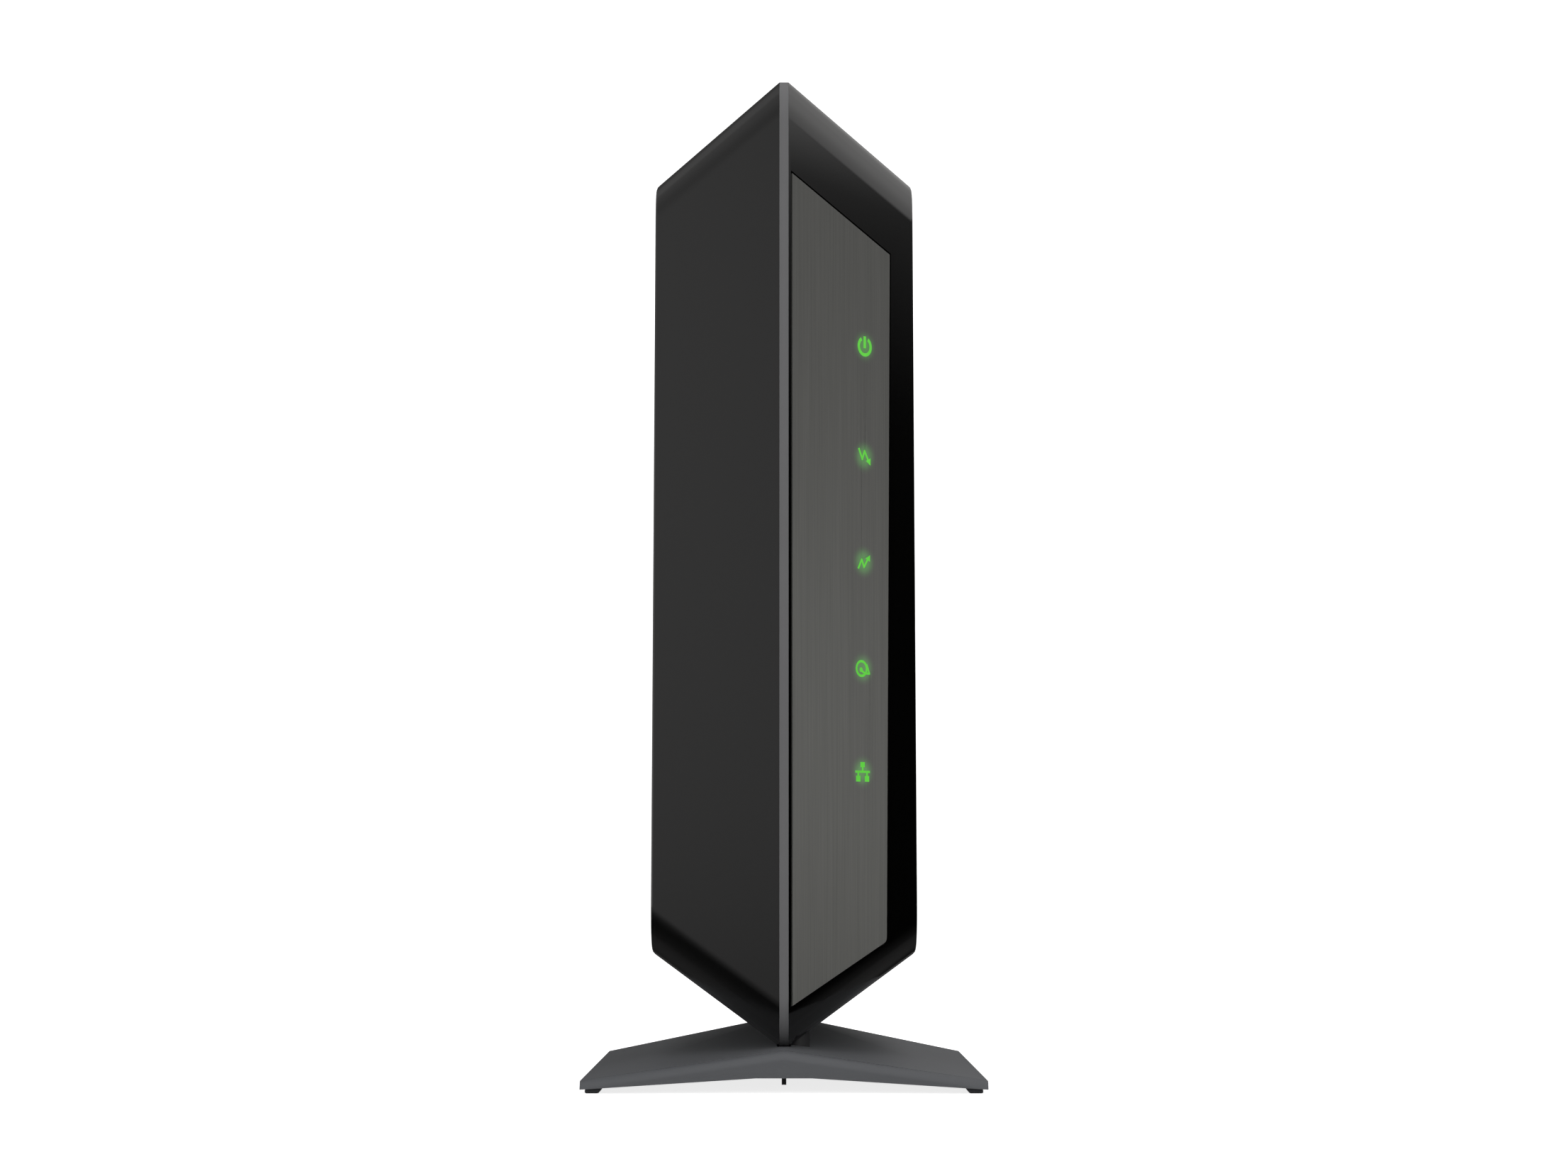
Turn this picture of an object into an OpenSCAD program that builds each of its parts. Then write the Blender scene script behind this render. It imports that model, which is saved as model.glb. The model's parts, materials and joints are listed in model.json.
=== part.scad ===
// Upright cable modem on a low stand. Two half shells meet at a thin centre
// band, the nose is a wedge with the band as its ridge, and the right half
// carries a brushed inlay with five lit symbols. Millimetres, +Z up, the ridge
// towards -Y, +X to the right, origin under the middle of the bounding box.

/* [Body] */
// Height of the body along its front ridge
body_h = 214.7; // [170:0.1:260]
// Width of the body at its lower corners
body_w = 60; // [52:0.5:76]
// How much each side leans in towards the top
side_lean = 0.5; // [0:0.1:2]
// Depth of the body from ridge to back
body_d = 127; // [108:1:160]
// Thickness of the half shells
wall = 2.2; // [1.6:0.1:3]
// Radius of the nose's upper and lower edges
front_r = 15; // [8:0.5:18]
// Radius of the other outer edges
edge_r = 1.5; // [1:0.1:3]
// Fall of the roof per unit of width
roof_slope = 0.628; // [0.4:0.005:0.8]
// Rise of the underside per unit of width
under_slope = 0.682; // [0.4:0.002:0.8]
// Width of the centre band
band_w = 2; // [1.4:0.1:3]
// Height of the band's section, outside to inside
band_t = 3.4; // [2.6:0.1:5]

/* [Inlay and symbols] */
// Gap between the ridge and the inlay, along the facet
inlay_gap = 1.2; // [0.8:0.1:3]
// Width of the inlay at its top, along the facet
inlay_top_w = 31.4; // [24:0.1:32]
// Width of the inlay at its bottom, along the facet
inlay_bot_w = 29.8; // [24:0.1:32]
// Distance of the inlay below the roof edge
inlay_drop = 22.4; // [14:0.1:30]
// Distance of the inlay above the underside edge
inlay_lift = 8.7; // [8:0.1:20]
// Rise of the inlay's lower edge per unit of width
inlay_rise = 0.638; // [0.4:0.002:0.8]
// Thickness of the inlay
inlay_t = 0.8; // [0.5:0.1:1.2]
// Gap round the inlay, to the edge of its pocket
inlay_play = 0.4; // [0.1:0.05:0.6]
// Radius of the inlay's lower outer corner
inlay_r = 1.4; // [0.4:0.1:3]
// Distance of the symbols from the inlay's outer edge
icon_edge = 8.1; // [6:0.1:12]
// Height of the symbols' middle above the inlay's middle
icon_lift = 7.4; // [0:0.1:10]
// Heights of the symbols about their middle, top one first
icon_dz = [47.8, 22.9, -1, -24.8, -47.8];

/* [Stand] */
// Width of the stand
stand_w = 87; // [76:0.5:110]
// Depth of the stand
stand_d = 118.5; // [95:0.5:140]
// How far the stand reaches ahead of the ridge
stand_front = 8; // [4:0.5:14]
// Height of the stand's top on the centre line, at the front
stand_h = 9; // [8.5:0.1:14]
// Rise of the stand's top from front to back
stand_rise = 2.4; // [0:0.1:4]
// Height of the stand's top at its two ends
stand_end_h = 2.7; // [2.4:0.1:5]
// Thickness of the stand at its ends
stand_end_t = 1.8; // [1.4:0.1:2.2]
// Thickness of the stand on the centre line
stand_mid_t = 5.7; // [4:0.1:6]
// Sideways offset of the two stand posts
post_x = 2.7; // [0:0.1:6]
// Radius of the stand posts
post_r = 3; // [2.4:0.1:4]

/* [Circuit board] */
// Thickness of the main board
board_t = 1.6; // [1:0.1:2]
// Distance of the board's component face left of the middle
board_x = 8; // [6:0.5:10]
// Gap from the board to the shell corners above and below it
board_margin = 15; // [13:0.5:20]
// Side of the square heat sink
sink_w = 46; // [36:1:55]
// Height of the heat sink over the main chip
sink_h = 20; // [12:0.5:24]
// Number of heat sink fins
sink_fins = 9; // [6:1:12]

/* [Rear ports] */
// Width of the rear panel
panel_w = 41; // [36:0.5:46]
// Depth of the rear panel below the back of the body
panel_sink = 1.2; // [0.6:0.1:2]
// Thickness of the rear panel
panel_t = 2; // [1.5:0.1:3]
// How far the coaxial barrel stands out of the back of the body
coax_out = 10; // [8:0.5:14]
// Outer radius of the coaxial thread
coax_r = 4.76; // [4.7:0.01:4.8]
// Width of the network socket's mouth
rj_w = 11.8; // [11.7:0.1:12.2]
// Height of the network socket's mouth
rj_h = 8; // [6.8:0.1:8.4]
// Depth of the network socket
rj_d = 14; // [12:0.5:16]
// Inner radius of the power inlet
dc_r = 3.15; // [2.8:0.05:3.3]
// Radius of the power inlet's centre pin
dc_pin_r = 1.05; // [0.8:0.05:1.3]
// Side of the power button
button_w = 8; // [6:0.1:10]
// Travel of the power button
button_travel = 2; // [1:0.1:2.5]
// Travel of the reset plunger
reset_travel = 0.6; // [0.3:0.1:0.8]

/* [Hidden] */
$fn = 48;
fit = 0.1;              // gap between pieces that fit inside one another
move_gap = 0.3;         // gap around a piece that moves
nose_angle = 45;        // angle of the two nose facets to the depth
hull_fn = 16;           // facets round a hull's balls
front_steps = 8;        // flats along the nose's rounded edges
inner_r = 0.8;          // edge radius inside the shells

// heights of the body
z_low = stand_h;
z_high = z_low + body_h;
half_b = band_w / 2;
half_low = body_w / 2;
half_high = half_low - side_lean;
corner_low = z_low + under_slope * (half_low - half_b);
corner_high = z_high - roof_slope * (half_high - half_b);

// depth: the bounding box runs from the stand's front to the barrel's end
y_ridge = -(body_d + coax_out - stand_front) / 2;
y_back = y_ridge + body_d;
y_panel = y_back - panel_sink;          // outer face of the rear panel
y_inside = y_back - wall;               // inner face of the shells' back wall

// main board, in the plane x = -board_x
board_low = corner_low + board_margin;
board_high = corner_high - board_margin;
board_front = y_ridge + 24;
board_back = y_inside - panel_t - 2;
board_mid = (board_low + board_high) / 2;
chip_y = board_back - 56;
chip_z = board_mid + 12;
chip_t = 1.6;
chip_w = 22;
pad_t = 0.5;
sink_base = 2.5;        // thickness of the heat sink's plate
fin_t = 1.2;
pin_r = 1.3;            // shank of the heat sink's pins
sink_front = chip_y - sink_w / 2;
sink_back = chip_y + sink_w / 2;
sink_low = chip_z - sink_w / 2;
tuner_gap = 4;          // between the heat sink and the tuner's can
can_t = 0.3;            // sheet of the tuner's can
screw_r = 1.45;
screw_inset = 5;
cable_low = sink_low - 15;
cable_w = 10;
cable_t = 0.3;

// rear panel
panel_low = board_low + 2;
panel_high = board_high - 2;
z_dc = panel_low + 14;
z_button = panel_low + 34;
z_coax = panel_low + 58;
z_rj = panel_low + 84;
z_reset = panel_low + 101;

// light from the LED board to the symbols
icon_s = inlay_gap + (inlay_top_w + inlay_bot_w) / 2 - icon_edge;
icon_mid = (inlay_low(icon_s) + inlay_high(icon_s)) / 2 + icon_lift;
icon_z = [for (d = icon_dz) icon_mid + d];
icon_at = [for (z = icon_z) [outer_edge(z) - icon_edge, z]];
guide_depth = 5.5;      // distance of the LED board behind the facet
guide_w = 6.6;
led_low = icon_z[4] - 9;
led_high = icon_z[0] + 9;
led_screw_z = [led_low + 3, led_high - 3];

// sizes of the port pieces
nut_t = 2.4;
washer_t = 0.6;
coax_base = 0.4;        // the barrel is thinner by this under its nut
rj_skin = 0.3;
rj_wall = 1.9;
rj_mid = -board_x + rj_skin + rj_wall + rj_h / 2;
rj_back = y_panel - rj_d - 3;
dc_w = 9;
dc_h = 11;
dc_len = 14;
dc_mid = -board_x + dc_h / 2 + 0.5;
coax_body = 13;
button_out = 2.6;
button_mid = -board_x + 6;
stem_r = 1.5;
reset_mid = -board_x + 3.5;
reset_r = 0.8;

// case screws, outside the board's corners
case_r = 3.3;
case_y = [y_ridge + 37, y_back - 15];
case_z = [corner_low + 8.4, corner_high - 8.4];
case_seat = 14;         // distance of the screw heads' seat from the middle

// posts under the body
post_y = [y_ridge + 10 + 2 * post_r, y_ridge - stand_front + stand_d - 24];
flange_r = post_r + 1.2;
flange_gap = 0.67;      // between a post's flange and the shell under its edge
post_flange = z_low + under_slope * (post_x + flange_r - half_b)
    + wall * sqrt(1 + under_slope * under_slope) + flange_gap;
stand_under = stand_h - stand_mid_t;   // underside on the centre line
disc_sink = 1.3;        // depth of the lock discs' tops in the stand
disc_t = 2;
lock_z = stand_under + disc_sink;      // top of the lock discs

// ---------- shared shapes ----------

module ball(r, n) { sphere(r = r / cos(180 / n), $fn = n); }

// height of the roof (up = 1) or the underside (up = 0) at x, g inside its face
function edge_z(up, x, g) = up == 1
    ? z_high - roof_slope * (x - half_b) - g * sqrt(1 + roof_slope * roof_slope)
    : z_low + under_slope * (x - half_b) + g * sqrt(1 + under_slope * under_slope);

function unit(v) = v / norm(v);

// ball centre on the rounded edge between the nose and the roof or underside,
// at x, for a body grown by d and balls of radius r; k runs from nose to roof
function nose_point(up, x, d, r, k) =
    let (
        n1 = [cos(nose_angle), -sin(nose_angle), 0],
        n2 = up == 1 ? unit([roof_slope, 0, 1]) : unit([under_slope, 0, -1]),
        turn = acos(n1 * n2),
        u = (n1 * sin((1 - k) * turn) + n2 * sin(k * turn)) / sin(turn),
        e = cross(n1, n2),
        c = [x, y_ridge + x - half_b + front_r / cos(nose_angle), edge_z(up, x, front_r)],
        p = c + (front_r + d - r) * u
    )
    p + e * (x - p[0]) / e[0];

// solid of the right half, carried on past the middle, grown by d, with edges of radius r
module half_body(d, r, n) {
    past = -12;
    hull()
        for (end = [0, 1], up = [0, 1]) {
            x = end == 0 ? past : (up == 1 ? half_high : half_low) + d - r;
            translate([x, y_back + d - r, edge_z(up, x, r - d)]) ball(r, n);
            for (k = [0:front_steps]) translate(nose_point(up, x, d, r, k / front_steps)) ball(r, n);
        }
}

// everything right of x
module right_of(x) { translate([x, -300, -50]) cube([300, 600, 500]); }

// box from its low corner to its high corner
module box(a, b) { translate(a) cube(b - a); }

// round bar along X, Y or Z
module bar_x(r, x0, x1, y, z) { translate([x0, y, z]) rotate([0, 90, 0]) cylinder(r = r, h = x1 - x0); }
module bar_y(r, y0, y1, x, z) { translate([x, y1, z]) rotate([90, 0, 0]) cylinder(r = r, h = y1 - y0); }
module bar_z(r, z0, z1, x, y) { translate([x, y, z0]) cylinder(r = r, h = z1 - z0); }

// flat shape on the right nose facet, from d0 to d1 below its face
module on_facet(d0, d1) {
    translate([half_b, y_ridge, 0]) rotate([0, 0, nose_angle]) translate([0, d1, 0])
        rotate([90, 0, 0]) linear_extrude(d1 - d0) children();
}

// block on the main board: centre y and z, size, height over the board
module on_board(y, z, dy, dz, h, lift = 0) {
    box([-board_x + lift, y - dy / 2, z - dz / 2], [-board_x + lift + h, y + dy / 2, z + dz / 2]);
}

// ---------- half shells ----------

// air slots through the roof, the underside and the side wall, at the rear
module air_slots() {
    slots = 8;
    for (i = [0:slots - 1]) {
        y = y_back - 22 - 5 * i;
        box([half_high - 20, y, z_high - 40], [half_high - 9, y + 1.8, z_high + 5]);
        box([half_high - 20, y, z_low - 5], [half_high - 9, y + 1.8, z_low + 36]);
        box([half_high - 10, y_back - 60, corner_high - 34 - 4.5 * i],
            [half_high + 10, y_back - 24, corner_high - 32.2 - 4.5 * i]);
    }
}

module panel_opening() {
    box([-panel_w / 2, y_inside - 6, panel_low], [panel_w / 2, y_back + 5, panel_high]);
}

// holes down through the underside for the stand posts
module post_holes() {
    for (y = post_y) bar_z(post_r + 0.05, 0, z_low + 12, post_x, y);
}

// half shell seen as the right one; the left one is mirrored
module half_shell() {
    difference() {
        half_body(0, edge_r, hull_fn);
        half_body(-wall, inner_r, 12);
        mirror([1, 0, 0]) right_of(-half_b);
        panel_opening();
        air_slots();
    }
}

module case_bosses(r0, x1) {
    for (y = case_y, z = case_z) bar_x(r0, 0.05, x1, y, z);
}

module left_shell() {
    color("#2f3034")
    difference() {
        union() {
            mirror([1, 0, 0]) half_shell();
            intersection() {
                mirror([1, 0, 0]) half_body(-wall / 2, inner_r, 16);
                union() {
                    mirror([1, 0, 0]) case_bosses(case_r + 1.6, body_w);
                    for (p = board_screw_at())
                        bar_x(3, -body_w, -board_x - board_t, p[0], p[1]);
                }
            }
        }
        for (y = case_y, z = case_z) {
            bar_x(case_r, -body_w, -case_seat, y, z);
            bar_x(screw_r + 0.2, -body_w, 1, y, z);
        }
        for (p = board_screw_at()) bar_x(1.2, -board_x - 8, -board_x, p[0], p[1]);
        post_holes();
    }
}

module right_shell() {
    color("#0b0b0c")
    difference() {
        union() {
            half_shell();
            intersection() {
                half_body(-wall / 2, inner_r, 16);
                union() {
                    case_bosses(case_r + 0.4, body_w);
                    // pad behind the inlay
                    intersection() {
                        on_facet(wall - 0.4, wall + inlay_t) inlay_outline(inlay_play + 0.5);
                        right_of(half_b);
                    }
                    // bosses for the LED board
                    for (z = led_screw_z) on_facet(wall, guide_depth) translate([icon_s, z]) circle(2.2);
                }
            }
        }
        for (y = case_y, z = case_z) bar_x(screw_r, -1, 16, y, z);
        on_facet(-2, inlay_t + 0.05) inlay_outline(inlay_play);
        for (i = [0:4])
            on_facet(-2, guide_depth) translate(icon_at[i]) square(guide_w + 0.4, center = true);
        for (z = led_screw_z) on_facet(wall, 12) translate([icon_s, z]) circle(0.9);
        post_holes();
    }
}

// ---------- centre band ----------

// side outline of the body where it meets the band, in depth and height
module band_outline() {
    hull() {
        for (z = [z_low + edge_r, z_high - edge_r]) translate([y_back - edge_r, z]) circle(edge_r);
        polygon([
            for (up = [0, 1], k = [0:front_steps])
                let (p = nose_point(up, half_b, 0, 0, (up == 1 ? k : front_steps - k) / front_steps))
                    [p[1], p[2]]
        ]);
    }
}

module centre_band() {
    step = 4.5;         // the ring is thicker behind the rounded nose corners
    color("#8a8c90")
    difference() {
        rotate([90, 0, 90]) translate([0, 0, -half_b]) linear_extrude(band_w) band_outline();
        for (e = [0, step])
            box([-band_w, y_ridge + band_t + step - e, z_low + band_t + e],
                [band_w, y_back - band_t - step + e, z_high - band_t - e]);
        panel_opening();
        panel_flange(fit);
        post_holes();
    }
}

// ---------- inlay, symbols and their light ----------

// heights of the inlay's lower and upper edge at a distance s along the facet
function inlay_low(s) = z_low + inlay_rise * cos(nose_angle) * s + inlay_lift;
function inlay_high(s) = z_high - roof_slope * cos(nose_angle) * s - inlay_drop;

// distance of the inlay's outer edge along the facet at a height z
function outer_edge(z) =
    let (s1 = inlay_gap + inlay_top_w, s2 = inlay_gap + inlay_bot_w)
    s2 + (s1 - s2) * (z - inlay_low(s2)) / (inlay_high(s1) - inlay_low(s2));

// outline of the inlay on the facet, grown by g; its lower outer corner is round
module inlay_outline(g) {
    s0 = inlay_gap - g;
    s1 = inlay_gap + inlay_top_w + g;
    s2 = inlay_gap + inlay_bot_w + g;
    r = inlay_r + g;
    rise = atan(inlay_rise * cos(nose_angle));
    middle = [s2 - r, inlay_low(s2 - r) - g + r / cos(rise)];
    steps = 6;
    polygon([
        [s0, inlay_low(s0) - g],
        for (k = [0:steps])
            let (turn = (rise - 90) * (1 - k / steps)) middle + r * [cos(turn), sin(turn)],
        [s1, inlay_high(s1) + g], [s0, inlay_high(s0) + g]
    ]);
}

module ring2(r, w) { difference() { circle(r); circle(r - w); } }

// line of width w through the points
module stroke(points, w) {
    for (i = [0:len(points) - 2]) {
        d = points[i + 1] - points[i];
        translate(points[i]) rotate(atan2(d[1], d[0])) translate([0, -w / 2]) square([norm(d), w]);
        if (i > 0) translate(points[i]) circle(w / 2, $fn = 16);
    }
}

// power: ring open at the top, with a bar from the top to below the middle
module icon_power() {
    difference() {
        ring2(2.3, 0.75);
        polygon([[0, 0], [-1.9, 3], [1.9, 3]]);
    }
    translate([-0.4, -0.4]) square([0.8, 2.7]);
}

// zigzag arrow that ends low on the right; h scales and turns over its height
module icon_arrow(h) {
    scale([1, h, 1]) {
        stroke([[-1.75, 1.7], [-0.62, -0.7], [0.12, 1.2], [1.25, -0.75]], 0.5);
        polygon([[0.55, -1], [2.05, -0.3], [2.05, -1.95]]);
    }
}

// globe: ring, centre dot and an orbit that leaves it at the lower right
module icon_globe() {
    translate([-0.5, 0]) ring2(1.9, 0.55);
    translate([-0.65, -0.25]) circle(0.5);
    stroke([[-0.55, -0.4], [0.6, -1.05], [2, -1.05], [1.1, 1]], 0.5);
}

// network tree: one box over two
module icon_network() {
    box_w = 1.4;
    translate([-box_w / 2, 1.05]) square([box_w, 1.15]);
    translate([-0.25, 0.2]) square([0.5, 1]);
    translate([-2.35, -0.2]) square([4.7, 0.5]);
    for (x = [-1.4, 1.4]) {
        translate([x - box_w / 2, -2.15]) square([box_w, 1.3]);
        translate([x - 0.25, -1]) square([0.5, 0.9]);
    }
}

module icon(i) {
    if (i == 0) icon_power();
    if (i == 1) icon_arrow(1);
    if (i == 2) icon_arrow(-0.88);
    if (i == 3) icon_globe();
    if (i == 4) icon_network();
}

module front_inlay() {
    color("#59595a")
    difference() {
        on_facet(0, inlay_t) inlay_outline(0);
        for (i = [0:4]) on_facet(-1, 2) translate(icon_at[i]) icon(i);
    }
}

module icon_lenses() {
    color("#5fd04a")
    for (i = [0:4]) on_facet(0, inlay_t) translate(icon_at[i]) icon(i);
}

// five clear blocks joined by a rail behind the shell
module light_guide() {
    color("#d8dcdc") {
        for (i = [0:4])
            on_facet(inlay_t, guide_depth - 1.2) translate(icon_at[i]) square(guide_w, center = true);
        on_facet(wall + 0.85, guide_depth - 1.2)
            for (i = [0:3])
                translate([icon_s - 0.8, icon_z[i + 1] + guide_w / 2])
                    square([1.6, icon_z[i] - icon_z[i + 1] - guide_w]);
    }
}

module led_board() {
    color("#1d5b34")
    difference() {
        on_facet(guide_depth, guide_depth + 1)
            translate([icon_s - 5, led_low]) square([10, led_high - led_low]);
        for (z = led_screw_z) on_facet(wall, 12) translate([icon_s, z]) circle(1);
    }
}

module leds() {
    color("#bdf0a8")
    for (i = [0:4])
        on_facet(guide_depth - 1.1, guide_depth) translate(icon_at[i]) square([1.6, 2], center = true);
}

module led_board_screws() {
    color("#9a9da1")
    for (z = led_screw_z) {
        on_facet(wall + inlay_t, guide_depth + 1) translate([icon_s, z]) circle(0.85);
        on_facet(guide_depth + 1, guide_depth + 2) translate([icon_s, z]) circle(1.7);
    }
}

// flat cable from the LED board to the main board, in three straight runs
module led_cable() {
    c = cos(nose_angle);
    s = icon_s * c;
    dx = (guide_depth + 1) * c;
    x0 = half_b + s - dx;               // middle of the LED board's back
    y0 = y_ridge + s + dx;
    y1 = board_front + 3;
    color("#d9d3c4")
    translate([0, 0, cable_low]) linear_extrude(cable_w)
        polygon([
            [x0, y0], [x0, y1], [-board_x, y1], [-board_x, y1 - cable_t],
            [x0 - cable_t, y1 - cable_t], [x0 - cable_t, y0 - cable_t]
        ]);
}

// ---------- main board ----------

function board_screw_at() = [
    for (
        y = [board_front + screw_inset, board_back - 24],
        z = [board_low + screw_inset, board_high - screw_inset]
    )
        [y, z]
];

module main_board() {
    color("#1a5c38")
    difference() {
        box([-board_x - board_t, board_front, board_low], [-board_x, board_back, board_high]);
        for (p = board_screw_at()) bar_x(1.6, -board_x - 5, 0, p[0], p[1]);
        for (q = sink_pin_at()) bar_x(pin_r + fit, -board_x - 5, 0, q[0], q[1]);
    }
}

module board_screws() {
    color("#a5a8ac")
    for (p = board_screw_at()) {
        bar_x(1.15, -board_x - 7, -board_x, p[0], p[1]);
        bar_x(2.6, -board_x, -board_x + 1.8, p[0], p[1]);
    }
}

module main_chip() { color("#1b1b1d") on_board(chip_y, chip_z, chip_w, chip_w, chip_t); }
module thermal_pad() { color("#8fa3b0") on_board(chip_y, chip_z, chip_w - 2, chip_w - 2, pad_t, chip_t); }

function sink_pin_at() = [
    [sink_front + 4, sink_low + 4],
    [sink_back - 4, sink_low + sink_w - 4]
];

// finned plate, fins upright so that air rises between them
module heat_sink() {
    lift = chip_t + pad_t;
    pitch = (sink_w - fin_t) / (sink_fins - 1);
    color("#b9bcc0")
    difference() {
        union() {
            on_board(chip_y, chip_z, sink_w, sink_w, sink_base, lift);
            for (i = [0:sink_fins - 1])
                on_board(sink_front + fin_t / 2 + i * pitch, chip_z, fin_t, sink_w, sink_h - lift, lift);
        }
        for (q = sink_pin_at()) {
            bar_x(pin_r + fit, -board_x, sink_h, q[0], q[1]);
            bar_x(3.4, -board_x + lift + sink_base, sink_h + 5, q[0], q[1]);
        }
    }
}

module heat_sink_pins() {
    head = chip_t + pad_t + sink_base;
    color("#e4e2dc")
    for (q = sink_pin_at()) {
        bar_x(pin_r, -board_x - board_t - 1.5, -board_x + head, q[0], q[1]);
        bar_x(2 * pin_r, -board_x + head, -board_x + head + 1.8, q[0], q[1]);
    }
}

module memory_chips() {
    color("#202124")
    for (z = [-8, 8]) on_board(sink_front - 8, chip_z + z, 9, 13, 1.1);
}
module flash_chip() { color("#202124") on_board(sink_front - 8, chip_z - 26, 8, 10, 1.2); }
module crystal() { color("#c4c6ca") on_board(chip_y, sink_low + sink_w + 5, 11, 4.6, 3.4); }

// can over the tuner, from the heat sink's back edge to the coaxial jack
module tuner_shield() {
    y0 = sink_back + tuner_gap;
    y1 = board_back - 13;
    color("#c2c4c7")
    difference() {
        on_board((y0 + y1) / 2, z_coax, y1 - y0, 22, 6);
        on_board((y0 + y1) / 2, z_coax, y1 - y0 - 2 * can_t, 22 - 2 * can_t, 6 - can_t, -0.01);
    }
}

module capacitors() {
    color("#24262b")
    for (i = [0:2]) bar_x(4, -board_x, -board_x + 12, chip_y - 14 + 11 * i, board_low + 12);
}

module power_coils() {
    color("#3a3b3e")
    for (i = [0:1]) on_board(chip_y + 21 + 14 * i - 28, board_low + 26, 10, 10, 5);
}

module network_transformer() { color("#1e1f22") on_board(rj_back - 8, z_rj, 9, 14, 6); }

// ---------- rear panel and ports ----------

// flange of the rear panel, behind the shells' edges
module panel_flange(g) {
    box([-panel_w / 2 - 1 - g, y_inside - 1.5 - g, panel_low - 1 - g],
        [panel_w / 2 + 1 + g, y_inside + g, panel_high + 1 + g]);
}

module rear_panel() {
    color("#161617")
    difference() {
        union() {
            box([-panel_w / 2 + fit, y_panel - panel_t, panel_low + fit],
                [panel_w / 2 - fit, y_panel, panel_high - fit]);
            panel_flange(0);
        }
        rj_outer(0.2, 30);
        bar_y(dc_r + 1.55, y_inside - 5, y_back, dc_mid, z_dc);
        bar_y(coax_r + 0.1, y_inside - 5, y_back, 0, z_coax);
        translate([button_mid, y_panel, z_button])
            cube([button_w + 2 * move_gap, 20, button_w + 2 * move_gap], center = true);
        bar_y(1.25, y_inside - 5, y_back, reset_mid, z_reset);
        // air slots above the ports
        for (i = [0:3])
            box([-12, y_inside - 5, panel_high - 8 - 4 * i], [12, y_back, panel_high - 6.2 - 4 * i]);
    }
}

// outer form of the network jack, grown by g and carried on backwards by far
module rj_outer(g, far) {
    box([-board_x - g, rj_back - g, z_rj - rj_w / 2 - rj_wall - rj_skin - g],
        [rj_mid + rj_h / 2 + rj_wall + 1.6 + rj_skin + g, y_panel + far,
            z_rj + rj_w / 2 + rj_wall + rj_skin + g]);
}

module rj_body(skin, y1) {
    box([-board_x + rj_skin - skin, rj_back + rj_skin - skin, z_rj - rj_w / 2 - rj_wall - skin],
        [rj_mid + rj_h / 2 + rj_wall + 1.6 + skin, y1, z_rj + rj_w / 2 + rj_wall + skin]);
}

module rj_cavity() {
    box([rj_mid - rj_h / 2, y_panel - rj_d, z_rj - rj_w / 2],
        [rj_mid + rj_h / 2, y_panel + 5, z_rj + rj_w / 2]);
    // slot for the plug's latch
    box([rj_mid, y_panel - rj_d, z_rj - 3], [rj_mid + rj_h / 2 + 1.8, y_panel + 5, z_rj + 3]);
}

module network_jack_shield() {
    color("#c9cbce")
    difference() {
        rj_body(rj_skin, y_panel);
        rj_body(0, y_panel + 5);
    }
}

module network_jack_housing() {
    color("#1c1c1e")
    difference() {
        rj_body(0, y_panel - 0.1);
        rj_cavity();
        rj_lamps(5);
    }
}

module rj_lamps(far) {
    for (side = [-1, 1])
        box([rj_mid + rj_h / 2 + 0.5, y_panel - 8, z_rj + side * 5.4 - 1.4],
            [rj_mid + rj_h / 2 + 2.6, y_panel - 0.1 + far, z_rj + side * 5.4 + 1.4]);
}

module network_jack_lamps() { color("#9fb06a") rj_lamps(0); }

module network_jack_contacts() {
    color("#d8b25a")
    for (i = [0:7])
        box([rj_mid - rj_h / 2, y_panel - 12, z_rj - 3.57 + 1.02 * i - 0.2],
            [rj_mid - rj_h / 2 + 0.8, y_panel - 3, z_rj - 3.57 + 1.02 * i + 0.2]);
}

module coax_jack() {
    y0 = y_panel;
    color("#c6b98f")
    difference() {
        union() {
            // square root on the board
            box([-board_x, board_back - 12, z_coax - coax_body / 2],
                [5, y_inside - panel_t - 1.5, z_coax + coax_body / 2]);
            bar_y(coax_r - coax_base, y_inside - panel_t - 2, y0 + washer_t + nut_t, 0, z_coax);
            bar_y(coax_r, y0 + washer_t + nut_t, y_back + coax_out, 0, z_coax);
        }
        bar_y(3.2, board_back - 8, y_back + coax_out + 1, 0, z_coax);
    }
}

module coax_insulator() {
    color("#e9e7e0")
    difference() {
        bar_y(3.2, board_back - 8, y_back + coax_out - 0.8, 0, z_coax);
        bar_y(0.9, board_back - 8.5, y_back + coax_out, 0, z_coax);
    }
}

// sprung socket for the cable's centre wire
module coax_contact() {
    color("#d8b25a")
    difference() {
        bar_y(0.9, board_back - 8, y_back + coax_out - 1.2, 0, z_coax);
        bar_y(0.55, y_back, y_back + coax_out, 0, z_coax);
    }
}

module coax_washer() {
    color("#c9cbce")
    difference() {
        bar_y(7, y_panel, y_panel + washer_t, 0, z_coax);
        bar_y(coax_r - coax_base + 0.05, y_panel - 1, y_panel + 2, 0, z_coax);
    }
}

module coax_nut() {
    color("#c9cbce")
    difference() {
        translate([0, y_panel + washer_t + nut_t, z_coax]) rotate([90, 0, 0])
            cylinder(r = 5.6 / cos(30), h = nut_t, $fn = 6);
        bar_y(coax_r - coax_base + 0.05, y_panel, y_panel + 5, 0, z_coax);
    }
}

module power_inlet() {
    color("#1a1a1c")
    difference() {
        union() {
            box([-board_x, y_panel - panel_t - 0.5 - dc_len, z_dc - dc_w / 2],
                [dc_mid + dc_h / 2, y_inside - 1.6, z_dc + dc_w / 2]);
            bar_y(dc_r + 1.45, y_inside - 2, y_panel, dc_mid, z_dc);
        }
        bar_y(dc_r, y_panel - 10, y_panel + 1, dc_mid, z_dc);
    }
}

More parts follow.
